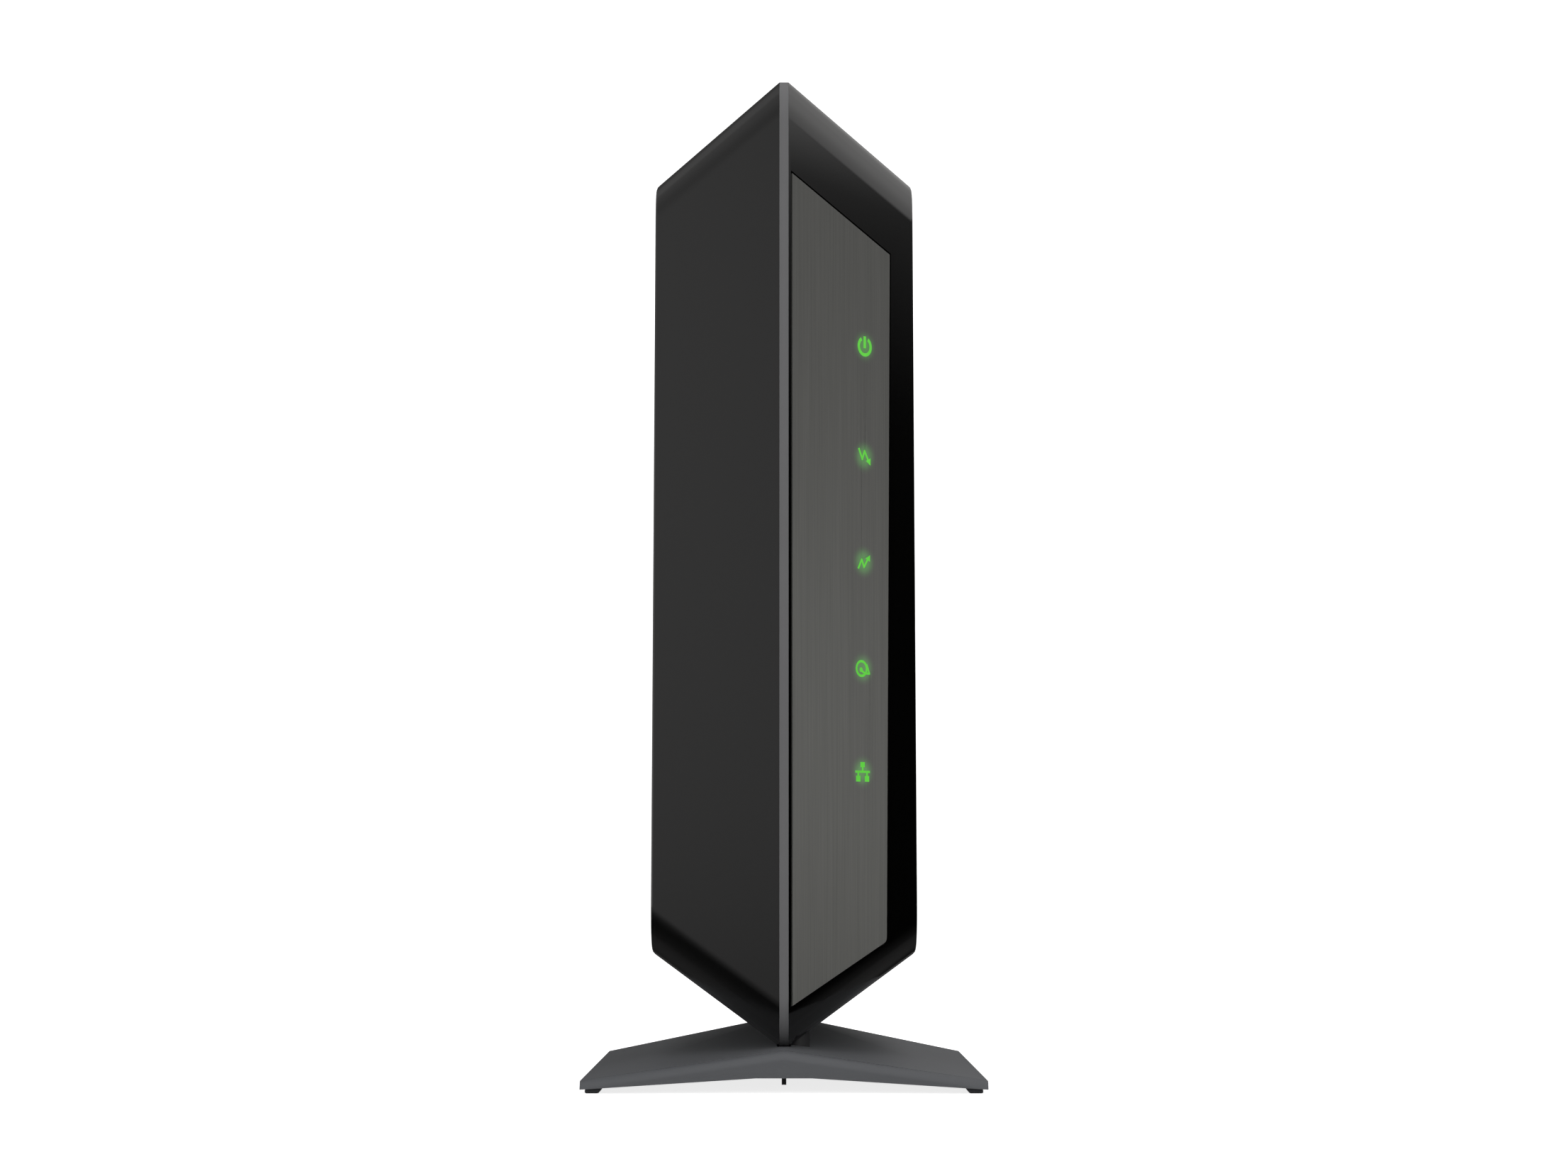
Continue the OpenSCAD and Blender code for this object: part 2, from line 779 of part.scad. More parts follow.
module power_inlet_pin() {
    color("#cfd1d3") bar_y(dc_pin_r, y_panel - 10, y_panel - 1, dc_mid, z_dc);
}

module power_inlet_spring() {
    color("#cfd1d3")
    box([dc_mid + dc_r - 0.7, y_panel - 9, z_dc - 0.8], [dc_mid + dc_r - 0.4, y_panel - 3, z_dc + 0.8]);
}

switch_face = y_panel - panel_t - 8;

module power_switch() {
    color("#2a2b2e")
    difference() {
        on_board_box(switch_face - 12, switch_face, z_button, 10, 11);
        bar_y(stem_r + 0.05, switch_face - 5 - button_travel, switch_face + 1, button_mid, z_button);
    }
}

module on_board_box(y0, y1, z, dz, h) { box([-board_x, y0, z - dz / 2], [-board_x + h, y1, z + dz / 2]); }

module power_button() {
    r = 1.2;
    color("#3a3b3f") {
        // cap with round corners
        translate([button_mid, y_panel + button_out, z_button]) rotate([90, 0, 0])
            linear_extrude(button_out + panel_t + 8 - button_travel - move_gap - 0.2)
                for (s = [0:3]) {
                    rotate(90 * s) translate([button_w / 2 - r, button_w / 2 - r]) circle(r);
                    rotate(90 * s) translate([-button_w / 2 + r, -button_w / 2])
                        square([button_w - 2 * r, button_w - r]);
                }
        bar_y(stem_r, switch_face - 4, switch_face + button_travel + 1, button_mid, z_button);
    }
}

reset_face = y_panel - panel_t - 3;

module reset_switch() {
    color("#2a2b2e")
    difference() {
        on_board_box(reset_face - 3.6, reset_face, z_reset, 6, 6.5);
        bar_y(reset_r + 0.05, reset_face - 2 - reset_travel, reset_face + 1, reset_mid, z_reset);
    }
}

module reset_plunger() {
    color("#b8382f") bar_y(reset_r, reset_face - 1.6, y_panel - panel_t + 0.6, reset_mid, z_reset);
}

// ---------- screws, stand and feet ----------

module case_screws() {
    color("#8e9094")
    for (y = case_y, z = case_z)
        difference() {
            union() {
                bar_x(2.8, -case_seat - 2.2, -case_seat, y, z);
                bar_x(screw_r - 0.05, -case_seat, 14, y, z);
            }
            bar_x(1.2, -case_seat - 3, -case_seat - 1.2, y, z);
        }
}

arch_flat = 6;          // half the flat stretch under the middle of the stand

// height of the stand's underside at a distance x from the middle
function under_at(x) = stand_under
    + (stand_end_h - stand_end_t - stand_under) * (x - arch_flat) / (stand_w / 2 - arch_flat);

// thin slice of the stand's block at the depth y, its ridge at a height h
module stand_slice(y, h) {
    a = stand_w / 2;
    t = 0.01;
    translate([0, y + t, 0]) rotate([90, 0, 0]) linear_extrude(t)
        polygon([
            [-a, under_at(a)], [a, under_at(a)],
            [a, stand_end_h], [half_b, h], [-half_b, h], [-a, stand_end_h]
        ]);
}

stand_y0 = y_ridge - stand_front;
stand_y1 = stand_y0 + stand_d;
brow_r = 2;             // rounding of the stand's top front edges

// hollow of the arch under the stand
module arch_hollow() {
    a = stand_w / 2 + 1;
    translate([0, stand_y1 + 1, 0]) rotate([90, 0, 0]) linear_extrude(stand_d + 2)
        polygon([
            [-a, under_at(a)], [-arch_flat, stand_under], [arch_flat, stand_under], [a, under_at(a)], [0, -20]
        ]);
}

// groove that the body's underside lies in: the band rests on its floor, and the
// half shells stay a little clear of its slopes
module body_groove() {
    w = half_b + 8;
    y0 = y_ridge + 6;
    translate([0, stand_y1 + 1, 0]) rotate([90, 0, 0]) linear_extrude(stand_y1 + 1 - y0)
        polygon([
            [-w, edge_z(0, w, -fit)], [-half_b, edge_z(0, half_b, -fit)], [-half_b, z_low],
            [half_b, z_low], [half_b, edge_z(0, half_b, -fit)], [w, edge_z(0, w, -fit)]
        ]);
}

module stand() {
    color("#55585d")
    difference() {
        hull() {
            stand_slice(stand_y0, stand_h);
            stand_slice(stand_y1 - 0.01, stand_h + stand_rise);
        }
        arch_hollow();
        body_groove();
        // rounded front edge: the two slopes lose a cove-shaped strip
        for (side = [0, 1]) mirror([side, 0, 0]) front_round();
        for (y = post_y) {
            bar_z(post_r + fit, -1, 20, post_x, y);
            bar_z(7, -1, lock_z, post_x, y);
        }
    }
}

// waste of a quarter-round along the top front edge of one slope
module front_round() {
    run = stand_w / 2;
    slope = atan2(stand_h - stand_end_h, run);
    translate([0, stand_y0, stand_h + 0.02]) rotate([0, slope, 0]) translate([-10, 0, 0]) rotate([90, 0, 90])
        linear_extrude(run + 20) difference() {
            translate([-1, -brow_r]) square([brow_r + 1, brow_r + 1]);
            translate([brow_r, -brow_r]) circle(brow_r);
        }
}

module foot_pads() {
    a = stand_w / 2 - 1;
    w = 3.8;
    l = 10;
    color("#1b1b1d")
    for (side = [0, 1], y = [stand_y0 + 2, stand_y1 - l - 2])
        mirror([side, 0, 0]) translate([0, y + l, 0]) rotate([90, 0, 0]) linear_extrude(l)
            polygon([[a - w + 0.9, 0], [a, 0], [a, under_at(a)], [a - w, under_at(a - w)]]);
}

module stand_posts() {
    color("#141416")
    for (y = post_y)
        difference() {
            union() {
                bar_z(post_r, lock_z, post_flange + 2, post_x, y);
                bar_z(flange_r, post_flange, post_flange + 2, post_x, y);
            }
            bar_z(1.1, 0, z_low + 4, post_x, y);
        }
}

// round discs under the stand, each with a small finger tab
module lock_discs() {
    color("#141416")
    for (y = post_y)
        difference() {
            union() {
                bar_z(6.6, lock_z - disc_t, lock_z, post_x, y);
                box([-0.5, y - 5.9, 0.8], [0.5, y - 4.4, lock_z - disc_t + 0.2]);
            }
            bar_z(1.4, -1, 10, post_x, y);
        }
}

module lock_screws() {
    z1 = lock_z - disc_t;
    head_t = 0.65;
    color("#8e9094")
    for (y = post_y) {
        bar_z(1.05, z1, z_low + 3, post_x, y);
        bar_z(2.7, z1 - head_t, z1, post_x, y);
    }
}

left_shell();
right_shell();
centre_band();
front_inlay();
icon_lenses();
light_guide();
led_board();
leds();
led_cable();
led_board_screws();
main_board();
main_chip();
thermal_pad();
heat_sink();
heat_sink_pins();
memory_chips();
flash_chip();
tuner_shield();
capacitors();
power_coils();
crystal();
network_transformer();
coax_jack();
coax_insulator();
coax_contact();
coax_washer();
coax_nut();
network_jack_shield();
network_jack_housing();
network_jack_contacts();
network_jack_lamps();
power_inlet();
power_inlet_pin();
power_inlet_spring();
power_switch();
power_button();
reset_switch();
reset_plunger();
rear_panel();
board_screws();
case_screws();
stand();
foot_pads();
stand_posts();
lock_discs();
lock_screws();
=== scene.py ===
# %% [markdown]
# An upright cable modem on a low arched stand. The circuit board, ports and moving
# buttons come as a fixed frame of solids, in metres, with +Z up and the front ridge
# towards -Y. This lesson gives that frame its finished surfaces: two half shells with
# soft edges, a brushed inlay with lit symbols, a moulded stand and the rear ports.

# %% Load the frame and measure it
import math
import bmesh
import bpy
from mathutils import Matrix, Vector
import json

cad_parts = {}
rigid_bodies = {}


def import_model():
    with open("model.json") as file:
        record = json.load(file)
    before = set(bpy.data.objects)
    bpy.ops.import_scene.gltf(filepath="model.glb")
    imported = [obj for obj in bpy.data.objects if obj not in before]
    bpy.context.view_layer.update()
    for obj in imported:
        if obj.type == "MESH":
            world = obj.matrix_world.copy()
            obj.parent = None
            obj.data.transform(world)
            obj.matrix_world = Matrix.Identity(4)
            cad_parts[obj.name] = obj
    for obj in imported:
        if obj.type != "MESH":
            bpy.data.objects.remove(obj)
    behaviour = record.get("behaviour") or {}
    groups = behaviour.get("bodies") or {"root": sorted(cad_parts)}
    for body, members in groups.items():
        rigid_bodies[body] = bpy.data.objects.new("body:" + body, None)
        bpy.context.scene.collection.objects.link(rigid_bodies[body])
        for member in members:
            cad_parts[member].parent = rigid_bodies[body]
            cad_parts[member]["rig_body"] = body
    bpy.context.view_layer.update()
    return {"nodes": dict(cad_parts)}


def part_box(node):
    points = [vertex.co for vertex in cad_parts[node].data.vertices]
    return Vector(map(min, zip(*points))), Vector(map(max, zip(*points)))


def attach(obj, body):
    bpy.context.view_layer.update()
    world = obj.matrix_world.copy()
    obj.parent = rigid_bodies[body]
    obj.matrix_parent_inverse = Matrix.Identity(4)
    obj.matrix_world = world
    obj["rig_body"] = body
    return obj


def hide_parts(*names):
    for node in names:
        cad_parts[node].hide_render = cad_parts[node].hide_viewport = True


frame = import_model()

mm = 0.001
nodes = frame["nodes"]

# %% [markdown]
# The front ridge is the landmark for everything in front of the object: the camera
# stands straight ahead of it, and the lights are set out around it.

# %% The ridge
band_low, band_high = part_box("centre_band")
ridge = Vector((band_high.x, band_low.y, 0))
print("ridge at y", round(ridge.y / mm, 2), "mm")
print("body from", round(band_low.z / mm, 1), "to", round(band_high.z / mm, 1), "mm")

# %% [markdown]
# The camera stands low, 0.7 m ahead of the ridge, and is tilted up by five degrees, so
# that upright edges lean together towards the top and the stand is seen from just
# above. Standing straight ahead of the ridge, it sees the body's two halves equally wide.

# %% Camera
camera_data = bpy.data.cameras.new("camera")
camera_data.lens = 74.0
camera_data.sensor_width = 36.0
camera_data.clip_start = 0.01
camera = bpy.data.objects.new("camera", camera_data)
tilt_up = 5.08
camera.location = (0.0, ridge.y - 700 * mm, 46.5 * mm)
camera.rotation_euler = (math.radians(90 + tilt_up), 0, 0)
bpy.context.scene.collection.objects.link(camera)
bpy.context.scene.camera = camera
print("camera at", [round(v, 3) for v in camera.location])

# %% [markdown]
# The backdrop is one sheet of pale paper: a floor that curves up into a wall well
# behind the object, so no line shows between them. It is kept out of mirror
# reflections, because the glossy half of the case should stay black.

# %% Floor and backdrop
def paper_profile(front=-4.0, bend=1.4, radius=0.8, top=4.0, steps=16):
    """Points (y, z) of the sheet, from in front of the object to the top of the wall."""
    points = [(front, 0.0), (bend, 0.0)]
    for k in range(1, steps + 1):
        a = math.radians(90 * k / steps)
        points.append((bend + radius * math.sin(a), radius - radius * math.cos(a)))
    points.append((bend + radius, top))
    return points


paper_mesh = bpy.data.meshes.new("paper")
bm = bmesh.new()
rows = [[bm.verts.new((x, y, z)) for x in (-5.0, 5.0)] for y, z in paper_profile()]
for a, b in zip(rows, rows[1:]):
    bm.faces.new((a[0], a[1], b[1], b[0])).smooth = True
bm.to_mesh(paper_mesh)
bm.free()
paper = bpy.data.objects.new("paper", paper_mesh)
bpy.context.scene.collection.objects.link(paper)
paper.visible_glossy = False

paper_white = bpy.data.materials.new("paper_white")
paper_white.use_nodes = True
paper_mesh.materials.append(paper_white)
tree = paper_white.node_tree
sheet = tree.nodes["Principled BSDF"]
sheet.inputs["Base Color"].default_value = (0.8, 0.8, 0.8, 1)
sheet.inputs["Roughness"].default_value = 0.9
sheet.inputs["Specular IOR Level"].default_value = 0.1
sheet.inputs["Emission Color"].default_value = (1, 1, 1, 1)
seen_by = tree.nodes.new("ShaderNodeLightPath")
brighten = tree.nodes.new("ShaderNodeMath")
brighten.operation = "MULTIPLY"
brighten.inputs[1].default_value = 0.8
tree.links.new(seen_by.outputs["Is Camera Ray"], brighten.inputs[0])
tree.links.new(brighten.outputs["Value"], sheet.inputs["Emission Strength"])
print("paper sheet with", len(paper_mesh.polygons), "faces")

# %% [markdown]
# Soft light comes from three large panels: overhead, to the left, and far in front. They
# shape the grey stand, the band and the inlay, and are kept out of mirror reflections,
# because the glossy half of the case should show only the dome that is painted below.

# %% Lights
def softbox(name, place, aim, width, height, watts):
    """Rectangular panel aimed at a point; it lights surfaces but is not mirrored in them."""
    data = bpy.data.lights.new(name, "AREA")
    data.shape = "RECTANGLE"
    data.size = width
    data.size_y = height
    data.energy = watts
    lamp = bpy.data.objects.new(name, data)
    lamp.location = place
    lamp.rotation_mode = "QUATERNION"
    lamp.rotation_quaternion = (Vector(aim) - Vector(place)).to_track_quat("-Z", "Y")
    lamp.visible_glossy = False
    lamp.visible_camera = False
    bpy.context.scene.collection.objects.link(lamp)
    return lamp


middle = (0, 0, 0.11)
softbox("overhead", (0.0, -0.1, 1.4), middle, 1.2, 1.0, 6)
softbox("left_panel", (-1.2, -1.0, 0.5), middle, 0.9, 1.2, 5)
softbox("front_fill", (0.3, -1.8, 0.5), middle, 1.6, 0.8, 8)

# %% [markdown]
# What a glossy case mirrors matters more than what shines on it. The dome around the
# object is painted by direction: a grey wall on the left, nothing on the right, a
# bright ceiling that starts a little above eye level, and a dim floor below. A wall
# behind the camera and a dim one beyond the object give the sides and the back
# something to mirror.

# %% Dome
def ramp(tree, value, low, high, start, end):
    """Smooth change from start to end while value goes from low to high."""
    node = tree.nodes.new("ShaderNodeMapRange")
    node.interpolation_type = "SMOOTHSTEP"
    for label, number in (("From Min", low), ("From Max", high), ("To Min", start), ("To Max", end)):
        node.inputs[label].default_value = number
    tree.links.new(value, node.inputs["Value"])
    return node.outputs["Result"]


def join(tree, operation, a, b):
    """One arithmetic node over two values, each a socket or a number."""
    node = tree.nodes.new("ShaderNodeMath")
    node.operation = operation
    for socket, value in zip(node.inputs, (a, b)):
        if isinstance(value, float):
            socket.default_value = value
        else:
            tree.links.new(value, socket)
    return node.outputs["Value"]


world = bpy.data.worlds.new("studio")
bpy.context.scene.world = world
world.use_nodes = True
sky = world.node_tree
sky.nodes.clear()
direction = sky.nodes.new("ShaderNodeTexCoord")
split = sky.nodes.new("ShaderNodeSeparateXYZ")
sky.links.new(direction.outputs["Generated"], split.inputs["Vector"])
side, away, up = split.outputs["X"], split.outputs["Y"], split.outputs["Z"]
left_wall = ramp(sky, side, -0.15, -0.6, 0.0, 0.61)
left_wall = join(sky, "MULTIPLY", left_wall, ramp(sky, up, -0.09, -0.03, 0.0, 1.0))
left_wall = join(sky, "MULTIPLY", left_wall, ramp(sky, up, 0.2, 0.4, 1.0, 0.55))
glow = ramp(sky, up, 0.13, 0.27, 0.0, 0.35)
panel = ramp(sky, up, 0.21, 0.27, 0.0, 0.85)
to_right = ramp(sky, side, -0.3, 0.3, 0.1, 1.0)
to_near = ramp(sky, away, 0.3, 0.85, 1.0, 0.42)
spread = join(sky, "MULTIPLY", to_right, to_near)
ceiling = join(sky, "MULTIPLY", join(sky, "ADD", glow, panel), spread)
low_floor = ramp(sky, up, -0.27, -0.45, 0.0, 0.10)
near_wall = join(sky, "MULTIPLY", ramp(sky, away, -0.2, -0.8, 0.0, 0.5), ramp(sky, up, -0.5, 0.5, 0.3, 1.0))
far_wall = ramp(sky, away, 0.9, 1.0, 0.0, 0.15)
dome = join(sky, "ADD", join(sky, "MAXIMUM", left_wall, ceiling), low_floor)
dome = join(sky, "ADD", dome, join(sky, "MAXIMUM", near_wall, far_wall))
print("dome walls and ceiling joined")

# %% [markdown]
# Only mirror rays should see that dome. Diffuse rays get an even grey, so that soft
# shading has no hard steps in it, and the camera itself sees plain white.

# %% What each kind of ray sees
lit = sky.nodes.new("ShaderNodeBackground")
lit.inputs["Color"].default_value = (1.0, 0.99, 0.98, 1)
sky.links.new(dome, lit.inputs["Strength"])
seen = sky.nodes.new("ShaderNodeBackground")
seen.inputs["Color"].default_value = (1, 1, 1, 1)
soft = sky.nodes.new("ShaderNodeBackground")
soft.inputs["Color"].default_value = (1, 1, 1, 1)
soft.inputs["Strength"].default_value = 0.5
rays = sky.nodes.new("ShaderNodeLightPath")
sky_out = sky.nodes.new("ShaderNodeOutputWorld")


def choose(ray, otherwise, shown):
    """One background for a kind of ray, another one for the rest."""
    node = sky.nodes.new("ShaderNodeMixShader")
    sky.links.new(rays.outputs[ray], node.inputs["Fac"])
    sky.links.new(otherwise.outputs[0], node.inputs[1])
    sky.links.new(shown.outputs[0], node.inputs[2])
    return node


whole = choose("Is Camera Ray", choose("Is Diffuse Ray", lit, soft), seen)
sky.links.new(whole.outputs["Shader"], sky_out.inputs["Surface"])
bpy.context.scene.view_settings.view_transform = "Standard"
print("dome nodes:", len(sky.nodes))

# %% [markdown]
# Moulded plastic is never one flat colour. The mould is spark-eroded, which leaves a
# fine even grain, and the grain also breaks up the gloss a little. The same grain is
# needed on the case, the stand and the port frames, so it is built once as a group:
# it gives a height for bumps, and masks for roughness and colour.

# %% Group: moulded grain
def new_group(name, inputs, outputs):
    """Empty shader group with its sockets, and the nodes at its two ends."""
    group = bpy.data.node_groups.new(name, "ShaderNodeTree")
    for label, kind, value in inputs:
        socket = group.interface.new_socket(label, in_out="INPUT", socket_type=kind)
        socket.default_value = value
    for label, kind in outputs:
        group.interface.new_socket(label, in_out="OUTPUT", socket_type=kind)
    return group, group.nodes.new("NodeGroupInput"), group.nodes.new("NodeGroupOutput")


grain_group, g_in, g_out = new_group(
    "moulded_grain",
    [("Grain Scale", "NodeSocketFloat", 3000.0), ("Cloud Scale", "NodeSocketFloat", 30.0),
     ("Base Roughness", "NodeSocketFloat", 0.5), ("Roughness Spread", "NodeSocketFloat", 0.08),
     ("Dark", "NodeSocketColor", (0.02, 0.02, 0.02, 1)), ("Light", "NodeSocketColor", (0.03, 0.03, 0.03, 1))],
    [("Color", "NodeSocketColor"), ("Roughness", "NodeSocketFloat"), ("Height", "NodeSocketFloat")],
)
tree = grain_group
where = tree.nodes.new("ShaderNodeTexCoord")
grain = tree.nodes.new("ShaderNodeTexNoise")
grain.inputs["Detail"].default_value = 3.0
cloud = tree.nodes.new("ShaderNodeTexNoise")
cloud.inputs["Detail"].default_value = 2.0
tint = tree.nodes.new("ShaderNodeMix")
tint.data_type = "RGBA"
rough = tree.nodes.new("ShaderNodeMath")
rough.operation = "MULTIPLY_ADD"
tree.links.new(where.outputs["Object"], grain.inputs["Vector"])
tree.links.new(where.outputs["Object"], cloud.inputs["Vector"])
tree.links.new(g_in.outputs["Grain Scale"], grain.inputs["Scale"])
tree.links.new(g_in.outputs["Cloud Scale"], cloud.inputs["Scale"])
tree.links.new(cloud.outputs["Fac"], tint.inputs["Factor"])
tree.links.new(g_in.outputs["Dark"], tint.inputs["A"])
tree.links.new(g_in.outputs["Light"], tint.inputs["B"])
tree.links.new(grain.outputs["Fac"], rough.inputs[0])
tree.links.new(g_in.outputs["Roughness Spread"], rough.inputs[1])
tree.links.new(g_in.outputs["Base Roughness"], rough.inputs[2])
tree.links.new(tint.outputs["Result"], g_out.inputs["Color"])
tree.links.new(rough.outputs["Value"], g_out.inputs["Roughness"])
tree.links.new(grain.outputs["Fac"], g_out.inputs["Height"])
print("group made:", grain_group.name)


# %% [markdown]
# One helper joins a surface group to a shader: it drives colour, roughness and a
# shallow bump. Constant values are set on the shader itself. A second helper uses the
# first to make a plastic in one line.

# %% Helper: plastics and metals
def start_material(name, **values):
    """Material with its constant values set on the shader itself."""
    material = bpy.data.materials.new(name)
    material.use_nodes = True
    shader = material.node_tree.nodes["Principled BSDF"]
    for label, value in values.items():
        shader.inputs[label.replace("_", " ")].default_value = value
    return material


def shade(colour, factor):
    """The colour made darker or lighter by a factor."""
    return (colour[0] * factor, colour[1] * factor, colour[2] * factor, 1)


def add_surface(material, group_tree, colour, roughness, spread, contrast, bump, depth):
    """Drive a material's colour, roughness and bump from one of the surface groups."""
    nodes_ = material.node_tree.nodes
    links = material.node_tree.links
    shader = nodes_["Principled BSDF"]
    group = nodes_.new("ShaderNodeGroup")
    group.node_tree = group_tree
    group.inputs["Base Roughness"].default_value = roughness - spread / 2
    group.inputs["Roughness Spread"].default_value = spread
    group.inputs["Dark"].default_value = shade(colour, 1 - contrast)
    group.inputs["Light"].default_value = shade(colour, 1 + contrast)
    relief = nodes_.new("ShaderNodeBump")
    relief.inputs["Strength"].default_value = bump
    relief.inputs["Distance"].default_value = depth
    links.new(group.outputs["Color"], shader.inputs["Base Color"])
    links.new(group.outputs["Roughness"], shader.inputs["Roughness"])
    links.new(group.outputs["Height"], relief.inputs["Height"])
    links.new(relief.outputs["Normal"], shader.inputs["Normal"])
    return group


def moulded(name, colour, roughness=0.5, spread=0.08, bump=0.1, cloud=0.06):
    """Plastic, rubber or resin with the mould's grain."""
    material = start_material(name)
    add_surface(material, grain_group, colour, roughness, spread, cloud, bump, 0.1 * mm)
    return material


matt_case = moulded("matt_case", (0.0022, 0.0022, 0.0023), roughness=0.24, spread=0.04, bump=0.02)
gloss_case = moulded("gloss_case", (0.0007, 0.0007, 0.0007), roughness=0.1, spread=0.02, bump=0.01)
band_plastic = moulded("band_plastic", (0.10, 0.10, 0.103), roughness=0.45)
stand_plastic = moulded("stand_plastic", (0.070, 0.073, 0.079), roughness=0.55, bump=0.12)
port_plastic = moulded("port_plastic", (0.010, 0.010, 0.011), roughness=0.45)
panel_plastic = moulded("panel_plastic", (0.012, 0.012, 0.013), roughness=0.6, bump=0.2)
foot_rubber = moulded("foot_rubber", (0.045, 0.047, 0.052), roughness=0.85, bump=0.25)
post_plastic = moulded("post_plastic", (0.008, 0.008, 0.009), roughness=0.5)
button_plastic = moulded("button_plastic", (0.035, 0.036, 0.04), roughness=0.4)
reset_plastic = moulded("reset_plastic", (0.45, 0.035, 0.02), roughness=0.4)
nylon = moulded("nylon", (0.75, 0.73, 0.68), roughness=0.45)
chip_resin = moulded("chip_resin", (0.012, 0.012, 0.013), roughness=0.55)
ferrite = moulded("ferrite", (0.04, 0.042, 0.045), roughness=0.7)
can_sleeve = moulded("can_sleeve", (0.015, 0.017, 0.022), roughness=0.3)
gap_pad = moulded("gap_pad", (0.27, 0.36, 0.43), roughness=0.9)
cable_strip = moulded("cable_strip", (0.68, 0.63, 0.53), roughness=0.5)
clear_guide = moulded("clear_guide", (0.7, 0.74, 0.74), roughness=0.2)
print("plastics:", len(bpy.data.materials))

# %% [markdown]
# Metals have their own marks. Turned and drawn parts show fine lines that follow the
# tool, so a stretched noise gives a streak for colour, roughness and height. The
# direction of the stretch is an input, because the inlay is brushed upright and the
# port barrels are turned.

# %% Group: tool lines
lines_group, l_in, l_out = new_group(
    "tool_lines",
    [("Stretch", "NodeSocketVector", (9000.0, 9000.0, 90.0)), ("Base Roughness", "NodeSocketFloat", 0.35),
     ("Roughness Spread", "NodeSocketFloat", 0.1), ("Dark", "NodeSocketColor", (0.5, 0.5, 0.5, 1)),
     ("Light", "NodeSocketColor", (0.6, 0.6, 0.6, 1))],
    [("Color", "NodeSocketColor"), ("Roughness", "NodeSocketFloat"), ("Height", "NodeSocketFloat")],
)
tree = lines_group
where = tree.nodes.new("ShaderNodeTexCoord")
pull = tree.nodes.new("ShaderNodeVectorMath")
pull.operation = "MULTIPLY"
streak = tree.nodes.new("ShaderNodeTexNoise")
streak.inputs["Scale"].default_value = 1.0
streak.inputs["Detail"].default_value = 4.0
tint = tree.nodes.new("ShaderNodeMix")
tint.data_type = "RGBA"
rough = tree.nodes.new("ShaderNodeMath")
rough.operation = "MULTIPLY_ADD"
tree.links.new(where.outputs["Object"], pull.inputs[0])
tree.links.new(l_in.outputs["Stretch"], pull.inputs[1])
tree.links.new(pull.outputs["Vector"], streak.inputs["Vector"])
tree.links.new(streak.outputs["Fac"], tint.inputs["Factor"])
tree.links.new(l_in.outputs["Dark"], tint.inputs["A"])
tree.links.new(l_in.outputs["Light"], tint.inputs["B"])
tree.links.new(streak.outputs["Fac"], rough.inputs[0])
tree.links.new(l_in.outputs["Roughness Spread"], rough.inputs[1])
tree.links.new(l_in.outputs["Base Roughness"], rough.inputs[2])
tree.links.new(tint.outputs["Result"], l_out.inputs["Color"])
tree.links.new(rough.outputs["Value"], l_out.inputs["Roughness"])
tree.links.new(streak.outputs["Fac"], l_out.inputs["Height"])


def drawn_metal(name, colour, roughness=0.3, stretch=(9000, 90, 9000),
                contrast=0.12, bump=0.05, metallic=1.0):
    """Metal with the lines of the tool that made it, stretched along one axis."""
    material = start_material(name, Metallic=metallic)
    group = add_surface(material, lines_group, colour, roughness, 0.12, contrast, bump, 0.05 * mm)
    group.inputs["Stretch"].default_value = stretch
    return material


brushed_plate = drawn_metal("brushed_plate", (0.064, 0.064, 0.060), roughness=0.55, stretch=(3200, 3200, 30),
                            contrast=0.3, bump=0.15, metallic=0.25)
nickel = drawn_metal("nickel", (0.62, 0.61, 0.58), roughness=0.22)
tinned = drawn_metal("tinned", (0.58, 0.59, 0.6), roughness=0.32)
gold_flash = drawn_metal("gold_flash", (0.78, 0.56, 0.25), roughness=0.25)
screw_metal = drawn_metal("screw_metal", (0.45, 0.45, 0.46), roughness=0.35)
black_screw = drawn_metal("black_screw", (0.03, 0.03, 0.032), roughness=0.4)
sink_metal = drawn_metal("sink_metal", (0.6, 0.61, 0.63), roughness=0.4, stretch=(9000, 9000, 60))
solder_mask = moulded("solder_mask", (0.012, 0.09, 0.035), roughness=0.35, cloud=0.2)
print("materials so far:", len(bpy.data.materials))

# %% [markdown]
# The symbols are clear plastic lit from behind. They are made as an emitting surface
# in leaf green, a little uneven, as light that comes through a moulded guide is.

# %% Material: lit symbols
def glowing(name, colour, strength):
    """Clear plastic lit from behind, a little uneven."""
    material = start_material(name, Roughness=0.4, Emission_Strength=strength)
    nodes_ = material.node_tree.nodes
    links = material.node_tree.links
    shader = nodes_["Principled BSDF"]
    place = nodes_.new("ShaderNodeTexCoord")
    uneven = nodes_.new("ShaderNodeTexNoise")
    uneven.inputs["Scale"].default_value = 700.0
    tint = nodes_.new("ShaderNodeMix")
    tint.data_type = "RGBA"
    tint.inputs["A"].default_value = shade(colour, 0.85)
    tint.inputs["B"].default_value = shade(colour, 1.15)
    links.new(place.outputs["Object"], uneven.inputs["Vector"])
    links.new(uneven.outputs["Fac"], tint.inputs["Factor"])
    links.new(tint.outputs["Result"], shader.inputs["Emission Color"])
    shader.inputs["Base Color"].default_value = shade(colour, 0.1)
    return material


lit_symbol = glowing("lit_symbol", (0.10, 0.55, 0.045), 1.0)
led_light = glowing("led_light", (0.3, 0.9, 0.2), 1.5)
lamp_clear = moulded("lamp_clear", (0.20, 0.26, 0.10), roughness=0.25)

# %% [markdown]
# Some of the symbols' light spreads through the print around them. The halo is a mask
# that falls off with the distance to the nearest symbol. The places of the symbols are
# read off the frame, and a group turns them into the mask and its green.

# %% Group: halo round the symbols
weld = 0.000002


